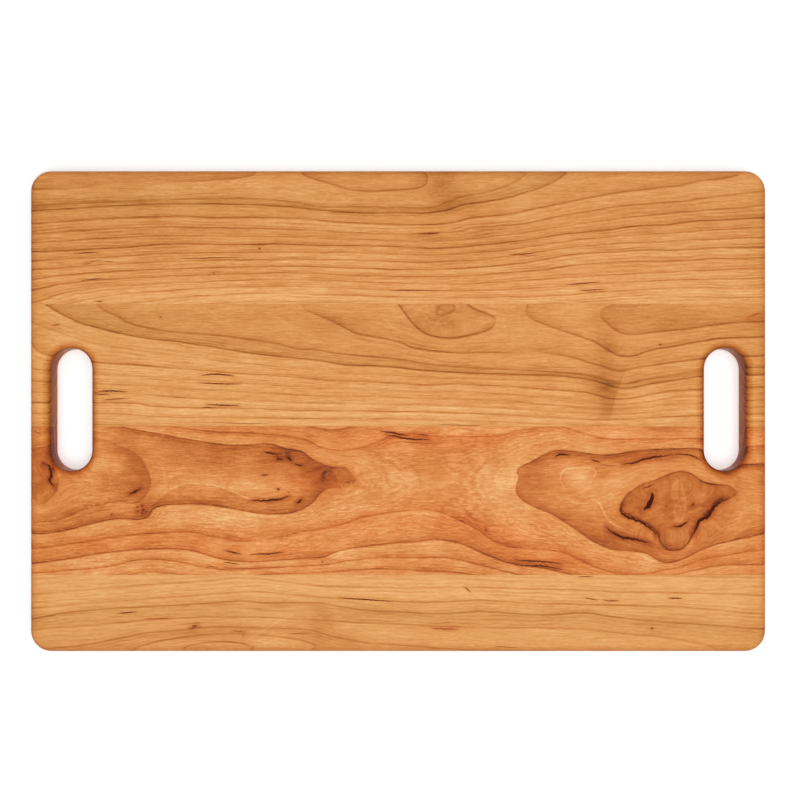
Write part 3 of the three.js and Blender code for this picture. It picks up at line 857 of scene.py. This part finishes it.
def write_grain(piece, node, field):
    """Stores the ring number, ring density and fibre coordinate at every point, for the wood's material."""
    mesh = piece.data
    count = len(mesh.vertices)
    place = np.empty(count * 3)
    normal = np.empty(count * 3, np.float32)
    mesh.vertices.foreach_get("co", place)
    mesh.vertex_normals.foreach_get("vector", normal)
    x, y, z = place.reshape(-1, 3).T / MM
    normal = normal.reshape(-1, 3).astype(float)
    depth = np.maximum(0, THICKNESS - z)
    ring = field.sample(field.ring, x, y) + RING_SLOPE * depth ** 2 / (depth + SLOPE_START)
    turn = depth * (depth + 2 * SLOPE_START) / (depth + SLOPE_START) ** 2
    along, across = field.sample(field.along, x, y), field.sample(field.across, x, y)
    slope = np.stack([along, across, -RING_SLOPE * turn], 1)
    in_face = slope - normal * (slope * normal).sum(1)[:, None]
    density = np.linalg.norm(in_face, axis=1)
    fade_down = np.exp(-depth / STAIN_DEPTH)
    stain = soft_spots(STAINS[node], x, y) * fade_down
    gap, half_width = gap_to_marks(node, x, y)
    reach = HALO_REACH * (0.4 + half_width)
    halo = np.exp(-(np.maximum(0, gap) / reach) ** 2) * np.clip(half_width * 1.4 - 0.3, 0.1, 1)
    halo *= np.exp(-depth / 2)
    fold_gap, fold_line, fold_shade = fold_layers(node, x, y)
    layers = {"ring": ring, "ring_density": density, "fibre": fibre_lines(x, y), "stain": stain,
              # The next attribute holds painted shade on the slot walls and rounded edges, along with oil
              # darkening.
              "halo": halo, "shade_and_oil": edge_shade_and_oil(x, y), "dive": np.clip(soft_spots(DIVES[node], x, y), 0, 1),
              "red_spot": soft_spots(RED_SPOTS[node], x, y) * fade_down,
              "fold_gap": fold_gap, "fold_line": fold_line * fade_down, "fold_shade": fold_shade * fade_down}
    for name, values in layers.items():
        layer = mesh.attributes.new(name, "FLOAT", "POINT")
        layer.data.foreach_set("value", values.astype(np.float32))


def smooth(piece, angle=35):
    for polygon in piece.data.polygons:
        polygon.use_smooth = True
    piece.data.set_sharp_from_angle(angle=math.radians(angle))


# ---------------------------------------------------------------- materials

def linear(colour):
    """An sRGB colour of 0 to 255 as linear numbers."""
    shares = [c / 255 for c in colour]
    return [s / 12.92 if s <= 0.04045 else ((s + 0.055) / 1.055) ** 2.4 for s in shares]


class Graph:
    """Short calls for building a shader's node tree."""

    def __init__(self, name):
        self.material = bpy.data.materials.new(name)
        self.material.use_nodes = True
        self.tree = self.material.node_tree
        self.tree.nodes.clear()

    def node(self, kind, inputs=(), **settings):
        made = self.tree.nodes.new(kind)
        for key, value in settings.items():
            setattr(made, key, value)
        for key, value in dict(inputs).items():
            socket = made.inputs[key]
            if isinstance(value, bpy.types.NodeSocket):
                self.tree.links.new(value, socket)
            else:
                socket.default_value = value
        return made

    def math(self, operation, *values, clamp=False):
        made = self.node("ShaderNodeMath", enumerate(values), operation=operation, use_clamp=clamp)
        return made.outputs[0]

    def add(self, *values):
        total = values[0]
        for value in values[1:]:
            total = self.math("ADD", total, value)
        return total

    def times(self, a, b):
        return self.math("MULTIPLY", a, b)

    def attribute(self, name):
        return self.node("ShaderNodeAttribute", attribute_name=name).outputs["Fac"]

    def vector(self, x, y, z):
        return self.node("ShaderNodeCombineXYZ", {"X": x, "Y": y, "Z": z}).outputs[0]

    def noise(self, vector, scale=1.0, detail=2.0, roughness=0.5):
        """Noise about 0, between about -1 and 1."""
        made = self.node("ShaderNodeTexNoise",
                         {"Vector": vector, "Scale": scale, "Detail": detail, "Roughness": roughness})
        return self.math("MULTIPLY_ADD", made.outputs["Fac"], 4.0, -2.0)

    def fade(self, value, start, end):
        """1 below start, falling smoothly to 0 at end; or the other way if end is less than start."""
        flip = end < start
        low, high = (end, start) if flip else (start, end)
        inputs = {"Value": value, "From Min": low, "From Max": high, "To Min": float(not flip),
                  "To Max": float(flip)}
        made = self.node("ShaderNodeMapRange", inputs, interpolation_type="SMOOTHSTEP")
        return made.outputs["Result"]

    def ramp(self, value, stops, interpolation="LINEAR"):
        made = self.node("ShaderNodeValToRGB", {"Fac": value})
        ramp = made.color_ramp
        ramp.interpolation = interpolation
        while len(ramp.elements) > 1:
            ramp.elements.remove(ramp.elements[0])
        for number, (place, colour) in enumerate(stops):
            stop = ramp.elements[0] if number == 0 else ramp.elements.new(place)
            stop.position = place
            stop.color = (*colour, 1)
        return made.outputs["Color"]

    def bump(self, height, strength, distance):
        inputs = {"Strength": strength, "Distance": distance, "Height": height}
        return self.node("ShaderNodeBump", inputs).outputs["Normal"]

    def surface(self, **inputs):
        """Ends the material with a Principled shader, and returns the material."""
        named = {name.replace("_", " "): value for name, value in inputs.items()}
        shader = self.node("ShaderNodeBsdfPrincipled", named)
        self.node("ShaderNodeOutputMaterial", {"Surface": shader.outputs[0]})
        return self.material

    def by_ring(self, ring, first, values):
        """A value looked up by whole ring number, the first and last values holding beyond their ends."""
        stops = [(k / len(values), [value] * 3) for k, value in enumerate(values)]
        place = self.math("DIVIDE", self.math("SUBTRACT", ring, first - 0.5), len(values))
        return self.ramp(place, stops, "CONSTANT")


# Wood colours from the palest to the darkest.
WOOD_TONES = {
    "stave_rear": [(239, 186, 124), (228, 167, 104), (215, 146, 79), (191, 119, 54), (162, 90, 34),
                   (112, 55, 18)],
    "stave_rear_middle": [(240, 190, 130), (231, 172, 109), (218, 150, 83), (194, 122, 56), (164, 93, 36),
                          (114, 56, 18)],
    "stave_front_middle": [(239, 188, 129), (229, 163, 99), (213, 132, 67), (187, 102, 42), (154, 74, 26),
                           (106, 47, 14)],
    "stave_front": [(240, 192, 138), (232, 177, 117), (222, 157, 91), (202, 132, 66), (170, 98, 41),
                    (118, 59, 21)],
}
PALEST = 180            # mean level of a colour at tone 0
TONE_SPAN = 110         # how many levels darker tone 1 is

# For each growth ring from the given number on: how strong its late-wood line is, and how much darker the
# wood is just after that line and just before the next one.
RING_TONES = {
    "stave_rear": (-1, [(0.5, 0.05, 0.1), (0.7, 0.02, 0.08), (0.5, 0.08, 0.13), (0.8, 0.03, 0.02),
        (0.9, -0.04, 0.02), (0.5, 0.01, 0.03), (0.4, -0.04, 0.09), (0.9, -0.03, 0.03), (0.4, -0.06, 0.02),
        (0.45, -0.06, 0.01), (0.8, -0.09, 0.01), (0.6, -0.05, -0.03), (0.45, -0.11, -0.07),
        (0.5, -0.11, -0.08), (0.4, -0.15, -0.14), (0.4, -0.12, -0.1), (0.4, -0.1, -0.05),
        (0.5, -0.08, -0.05)]),
    "stave_rear_middle": (-4, [(0.5, 0.03, 0.09), (0.8, 0.0, 0.05), (0.9, -0.02, 0.05), (0.8, 0.0, 0.06),
        (0.65, 0.05, 0.13), (0.9, -0.09, -0.05), (0.2, -0.1, -0.02), (0.7, -0.14, -0.1), (0.4, -0.1, -0.09),
        (0.45, -0.1, -0.1), (0.35, -0.16, -0.08), (0.65, -0.19, -0.12), (0.5, -0.14, -0.1),
        (0.4, -0.1, -0.1)]),
    "stave_front_middle": (-4, [(0.2, 0.2, 0.2), (0.3, 0.16, 0.3), (0.75, 0.0, 0.09), (0.12, 0.06, 0.32),
        (0.5, -0.09, 0.08), (0.55, -0.03, 0.12), (0.7, -0.13, 0.03), (0.6, -0.11, 0.04), (0.6, -0.06, 0.03),
        (0.5, 0.0, 0.05)]),
    "stave_front": (-1, [(0.3, -0.1, -0.11), (0.35, -0.12, -0.11), (0.45, -0.12, -0.12),
        (0.55, -0.1, -0.03), (0.65, 0.03, -0.02), (0.45, -0.05, -0.05), (0.6, 0.02, -0.02),
        (0.6, -0.02, -0.05), (0.7, 0.0, 0.0), (0.5, -0.03, -0.03)]),
}
WISPS_PER_RING = 9.0
# How many tones each part of the figure adds.
LINE_TONE = 0.27
LATE_WOOD_TONE = 0.17
HAIR_TONE = 0.12
THREAD_TONE = 0.075
STREAK_TONE = 0.06
BAND_TONE = 0.035
PORE_TONE = 0.06
MOTTLE_TONE = 0.28
SPECKLE_TONE = 0.022
HALO_TONE = 0.2
END_TONE = 0.1
# What one step of redness does to red, green and blue.
RED_STEP = (0.03, -0.11, -0.16)


def ring_parts(g, node, x, seed, waver):
    """Tone, redness and line tone from the rings: a thin line at each, late wood, faint lines between."""
    density = g.attribute("ring_density")
    ring = g.add(g.attribute("ring"), g.times(g.times(waver, 0.25), density))
    per_mm = g.math("MAXIMUM", density, 0.01)
    first, rows = RING_TONES[node]
    nearest = g.math("ROUND", ring)
    distance = g.math("DIVIDE", g.math("ABSOLUTE", g.math("SUBTRACT", ring, nearest)), per_mm)
    strength = g.by_ring(nearest, first, [row[0] for row in rows])
    patches = g.noise(g.vector(g.times(x, 1 / 30), g.times(nearest, 3.7), seed), detail=2)
    strength = g.times(strength, g.math("MULTIPLY_ADD", patches, 0.35, 0.9))
    straight = g.math("SUBTRACT", 1.0, g.attribute("dive"))
    steep = g.fade(density, 0.04, 0.01)
    line = g.times(g.fade(distance, 0.15, 1.0), g.times(strength, LINE_TONE))
    line = g.times(line, g.times(straight, steep))

    year = g.math("FLOOR", ring)
    share = g.math("SUBTRACT", ring, year)
    after = g.by_ring(year, first, [row[1] + 0.5 for row in rows])
    before = g.by_ring(year, first, [row[2] + 0.5 for row in rows])
    late = g.math("POWER", share, 2.0)
    shade = g.add(after, g.times(g.math("SUBTRACT", before, after), late), -0.5)
    shade = g.times(shade, g.math("MULTIPLY_ADD", g.attribute("dive"), -0.7, 1.0))
    coming = g.by_ring(g.add(year, 1.0), first, [row[0] for row in rows])
    late_wood = g.times(g.times(g.math("POWER", share, 7.0), steep), g.times(coming, LATE_WOOD_TONE))

    count, fine_amount = LOOKS[node]["fine_lines"], LOOKS[node]["fine_tone"]
    fine = g.add(g.times(ring, count), g.times(waver, 0.3))
    fine_nearest = g.math("ROUND", fine)
    fine_distance = g.math("DIVIDE", g.math("ABSOLUTE", g.math("SUBTRACT", fine, fine_nearest)),
                           g.math("MAXIMUM", g.times(density, count), 0.05))
    fine_patches = g.noise(g.vector(g.times(x, 1 / 40), g.times(fine_nearest, 2.3), seed + 5), detail=2)
    fine_strength = g.math("MULTIPLY_ADD", fine_patches, 0.12, 0.075, clamp=True)
    fine_strength = g.times(g.times(fine_strength, fine_amount), g.fade(g.times(density, count), 0.45, 0.2))
    fine_line = g.times(g.times(g.fade(fine_distance, 0.1, 0.9), fine_strength), straight)

    ripple_place = g.vector(g.times(x, 1 / 9), g.times(g.attribute("fibre"), 1 / 3.5), seed + 11)
    ripple = g.noise(ripple_place, detail=3)
    wave = g.math("SINE", g.times(g.add(g.times(ring, WISPS_PER_RING), g.times(ripple, 0.7)), math.tau))
    wisp_place = g.vector(g.times(x, 1 / 25), g.times(ring, 2.1), seed + 8)
    wisp_patches = g.fade(g.noise(wisp_place, detail=2), -0.4, 0.8)
    open_wood = g.times(g.fade(density, 0.05, 0.1), g.fade(ring, 0.1, -0.05))
    wisps = g.times(g.times(wave, wisp_patches), g.times(open_wood, LOOKS[node]["wisps"]))

    fold_gap = g.add(g.attribute("fold_gap"), g.times(waver, 0.45))
    fold_line = g.times(g.attribute("fold_line"), g.fade(g.math("ABSOLUTE", fold_gap), 0.1, 1.0))
    fold_shade = g.times(g.attribute("fold_shade"), g.fade(fold_gap, -0.25, 0.25))

    red_ring, red_amount = LOOKS[node]["red_ring"], LOOKS[node]["red_amount"]
    red = g.times(g.fade(g.math("ABSOLUTE", g.math("SUBTRACT", ring, red_ring)), 0.25, 0.75), red_amount)
    tone = g.add(line, shade, late_wood, fine_line, wisps, fold_line, fold_shade)
    return tone, red, g.add(line, late_wood)


def fibre_parts(g, node, x, z, seed, waver):
    """Tone from the fibres: hair-thin streaks, broader bands, a slow figure and pores along the grain."""
    across = g.attribute("fibre")
    look = LOOKS[node]
    length = look["fibre_length"]

    def streaks(long, wide, offset, detail):
        depth = g.add(g.times(z, 1 / wide), seed + offset)
        return g.noise(g.vector(g.times(x, 1 / long), g.times(across, 1 / wide), depth), detail=detail)

    hair = streaks(length, 0.6, 0, 2)
    thread = streaks(length * 0.35, 0.7, 20, 3)
    streak = streaks(length * 2.5, 1.9, 9, 3)
    band = streaks(110, 8, 2, 2)
    figure = streaks(20, 14, 4, 3)
    pores = g.fade(streaks(2.0, 0.35, 1, 1), 1.3, 0.7)
    flecks = g.times(g.fade(streaks(length * 0.8, 0.9, 33, 1), 1.3, 0.3), look["flecks"])
    dive = g.attribute("dive")
    swirl = g.times(waver, 0.9)
    mottle = g.noise(g.vector(g.add(g.times(x, 1 / 8), swirl), g.add(g.times(across, 1 / 3), swirl),
                              g.add(g.times(z, 0.4), seed)), detail=4, roughness=0.65)
    grainy = g.noise(g.vector(g.times(x, 1.4), g.times(across, 2.2), g.add(g.times(z, 2), seed)), detail=1)
    fibres = g.add(g.times(hair, HAIR_TONE), g.times(thread, THREAD_TONE), g.times(streak, STREAK_TONE),
                   flecks)
    fibres = g.times(fibres, g.math("MULTIPLY_ADD", dive, -0.8 * look["fibre_tone"], look["fibre_tone"]))
    tone = g.add(fibres, g.times(band, BAND_TONE), g.times(figure, look["figure"]), g.times(pores, PORE_TONE),
                 g.times(g.times(mottle, dive), MOTTLE_TONE), g.times(grainy, SPECKLE_TONE))
    return tone, hair, pores, streak


def wood_material(node):
    g = Graph("wood_" + node)
    place = g.node("ShaderNodeTexCoord").outputs["Object"]
    split = g.node("ShaderNodeSeparateXYZ", {"Vector": place})
    x = g.times(split.outputs["X"], 1 / MM)
    z = g.times(split.outputs["Z"], 1 / MM)
    look = LOOKS[node]
    seed = look["seed"]
    waver = g.noise(g.vector(g.times(x, 1 / 20), g.times(g.attribute("fibre"), 1 / 5),
                             g.add(g.times(z, 1 / 6), seed)), detail=5, roughness=0.55)
    ring_tone, red, lines = ring_parts(g, node, x, seed, waver)
    fibre_tone, hair, pores, streak = fibre_parts(g, node, x, z, seed, waver)

    # End grain takes up more oil and is darker. The slot walls and rounded edges carry painted shade, darkest
    # high on a wall where the floor's bounce light is weak, together with oil darkening.
    normal = g.node("ShaderNodeSeparateXYZ",
                    {"Vector": g.node("ShaderNodeNewGeometry").outputs["Normal"]}).outputs
    end = g.fade(g.math("ABSOLUTE", normal["X"]), 0.95, 0.3)
    halo = g.attribute("halo")
    stain = g.attribute("stain")
    shade_and_oil = g.attribute("shade_and_oil")
    # Painted shade on the slot walls and rounded edges, darker higher up a wall, plus oil darkening; the same
    # attribute also makes the redness sum below redder.
    painted_edge_shade = g.times(shade_and_oil, g.math("MULTIPLY_ADD", z, 0.28 / THICKNESS, 0.2))
    tone = g.add(look["base_tone"], ring_tone, fibre_tone, stain, g.times(halo, HALO_TONE), painted_edge_shade,
                 g.times(end, END_TONE))
    stops = [((PALEST - sum(c) / 3) / TONE_SPAN, linear(c)) for c in WOOD_TONES[node]]
    stops = [(max(0.0, min(1.0, stop)), c) for stop, c in stops]
    colour = g.ramp(tone, stops)
    redness = g.add(red, g.attribute("red_spot"), g.times(halo, 0.5), g.times(streak, 0.2),
                    g.times(stain, look["stain_red"]), g.times(shade_and_oil, 1.2), lines)
    tint = g.vector(*[g.math("MULTIPLY_ADD", redness, step, 1.0) for step in RED_STEP])
    colour = g.node("ShaderNodeVectorMath", {0: colour, 1: tint}, operation="MULTIPLY").outputs[0]

    rough = g.add(0.42, g.times(streak, 0.03), g.times(hair, 0.03), g.times(end, 0.15))
    height = g.add(g.times(hair, 0.5), g.times(pores, -1.0))
    bump = g.bump(height, 0.25, 0.00006)
    return g.surface(Base_Color=colour, Roughness=rough, Normal=bump, Specular_IOR_Level=0.2)


def gum_material():
    """Dried gum in the cracks: red-brown where it is thin and near black where it is deep."""
    g = Graph("gum")
    place = g.node("ShaderNodeTexCoord").outputs["Object"]
    height = g.node("ShaderNodeSeparateXYZ", {"Vector": place}).outputs["Z"]
    depth = g.math("SUBTRACT", THICKNESS, g.times(height, 1 / MM))
    speckle = g.noise(place, scale=900.0, detail=3)
    tone = g.add(g.times(depth, 0.8), g.times(speckle, 0.15))
    colour = g.ramp(tone, [(0.0, linear((186, 104, 52))), (0.15, linear((160, 80, 37))),
                           (0.4, linear((106, 46, 20))), (0.9, linear((70, 25, 13)))])
    bump = g.bump(speckle, 0.4, 0.0001)
    return g.surface(Base_Color=colour, Roughness=0.5, Normal=bump, Specular_IOR_Level=0.15)


def glue_material():
    """A thin amber line of cured glue, with wood dust rubbed into it."""
    g = Graph("glue")
    place = g.node("ShaderNodeTexCoord").outputs["Object"]
    split = g.node("ShaderNodeSeparateXYZ", {"Vector": place})
    x, y, z = (split.outputs[axis] for axis in "XYZ")
    along = g.vector(g.times(x, 120.0), y, g.times(z, 300.0))
    patches = g.noise(along, detail=4)
    tone = g.math("MULTIPLY_ADD", patches, 0.3, 0.5, clamp=True)
    colour = g.ramp(tone, [(0.0, linear((150, 92, 46))), (0.5, linear((184, 120, 64))),
                           (1.0, linear((212, 148, 88)))])
    return g.surface(Base_Color=colour, Roughness=0.5)


# ---------------------------------------------------------------- pieces

def make_board():
    whole = board_mesh()
    gum = gum_material()
    glue = glue_material()
    for node in frame["nodes"]:
        if node.startswith("stave"):
            piece = slab_object("fine_" + node, whole, node, [wood_material(node)])
            cutter = cutters(node, THICKNESS)
            cutter.data.materials.append(gum)
            carve(piece, cutter)
            low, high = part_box(node)
            write_grain(piece, node, RingField(node, low.y / MM, high.y / MM))
        else:
            piece = slab_object("fine_" + node, whole, node, [glue])
        smooth(piece)
        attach(piece, "root")
        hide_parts(node)
    whole.free()


# ---------------------------------------------------------------- stage, light and camera

CAMERA_HEIGHT = 770.0   # above the top face
VIEW_WIDTH = 496.6      # what the frame spans at the top face
SENSOR = 36.0
VIEW_SHIFT = (0.0024, 0.0139)
FLOOR_SIZE = 60.0       # metres
WORLD_LIGHT = 0.2       # from all round
WORLD_SEEN = 0.5        # how bright the background looks, which matches the far floor


def make_stage():
    bpy.ops.mesh.primitive_grid_add(
        x_subdivisions=4, y_subdivisions=4, size=FLOOR_SIZE, location=(0, 0, -0.0002))
    floor = bpy.context.object
    floor.name = "floor"
    g = Graph("floor")
    floor.data.materials.append(g.surface(
        Base_Color=(0.72, 0.738, 0.742, 1), Roughness=0.9, Specular_IOR_Level=0.0,
        Emission_Color=(1, 1, 1, 1), Emission_Strength=0.35))


def add_softbox(name, place, size, power):
    """A rectangular area light at a place, facing the middle of the board."""
    lamp = bpy.data.lights.new(name, "AREA")
    lamp.shape = "RECTANGLE"
    lamp.size, lamp.size_y = size
    lamp.energy = power
    holder = bpy.data.objects.new(name, lamp)
    holder.location = place
    holder.rotation_euler = (-Vector(place)).to_track_quat("-Z", "Y").to_euler()
    bpy.context.scene.collection.objects.link(holder)
    return holder


def make_lights():
    world = bpy.data.worlds.new("studio")
    bpy.context.scene.world = world
    world.use_nodes = True
    background = world.node_tree.nodes["Background"]
    background.inputs["Color"].default_value = (1, 1, 1, 1)
    seen = world.node_tree.nodes.new("ShaderNodeLightPath").outputs["Is Camera Ray"]
    strength = world.node_tree.nodes.new("ShaderNodeMapRange")
    strength.inputs["To Min"].default_value = WORLD_LIGHT
    strength.inputs["To Max"].default_value = WORLD_SEEN
    world.node_tree.links.new(seen, strength.inputs["Value"])
    world.node_tree.links.new(strength.outputs["Result"], background.inputs["Strength"])
    # The overhead softbox is cross-polarised: it lights the wood without a reflection of its own.
    overhead = add_softbox("softbox_overhead", (0.08, -0.16, 1.75), (1.5, 1.3), 27.0)
    overhead.visible_glossy = False
    for number in range(4):
        angle = math.radians(45 + 90 * number)
        place = (1.15 * math.cos(angle), 1.15 * math.sin(angle), 1.5)
        add_softbox(f"softbox_{number}", place, (1.1, 0.8), 1.5)


def make_camera():
    camera = bpy.data.cameras.new("camera")
    camera.sensor_width = SENSOR
    camera.lens = SENSOR * CAMERA_HEIGHT / VIEW_WIDTH
    camera.shift_x, camera.shift_y = VIEW_SHIFT
    holder = bpy.data.objects.new("camera", camera)
    holder.location = (0, 0, (THICKNESS + CAMERA_HEIGHT) * MM)
    bpy.context.scene.collection.objects.link(holder)
    bpy.context.scene.camera = holder


make_camera()
make_board()
make_stage()
make_lights()
bpy.context.scene.view_settings.view_transform = "Standard"
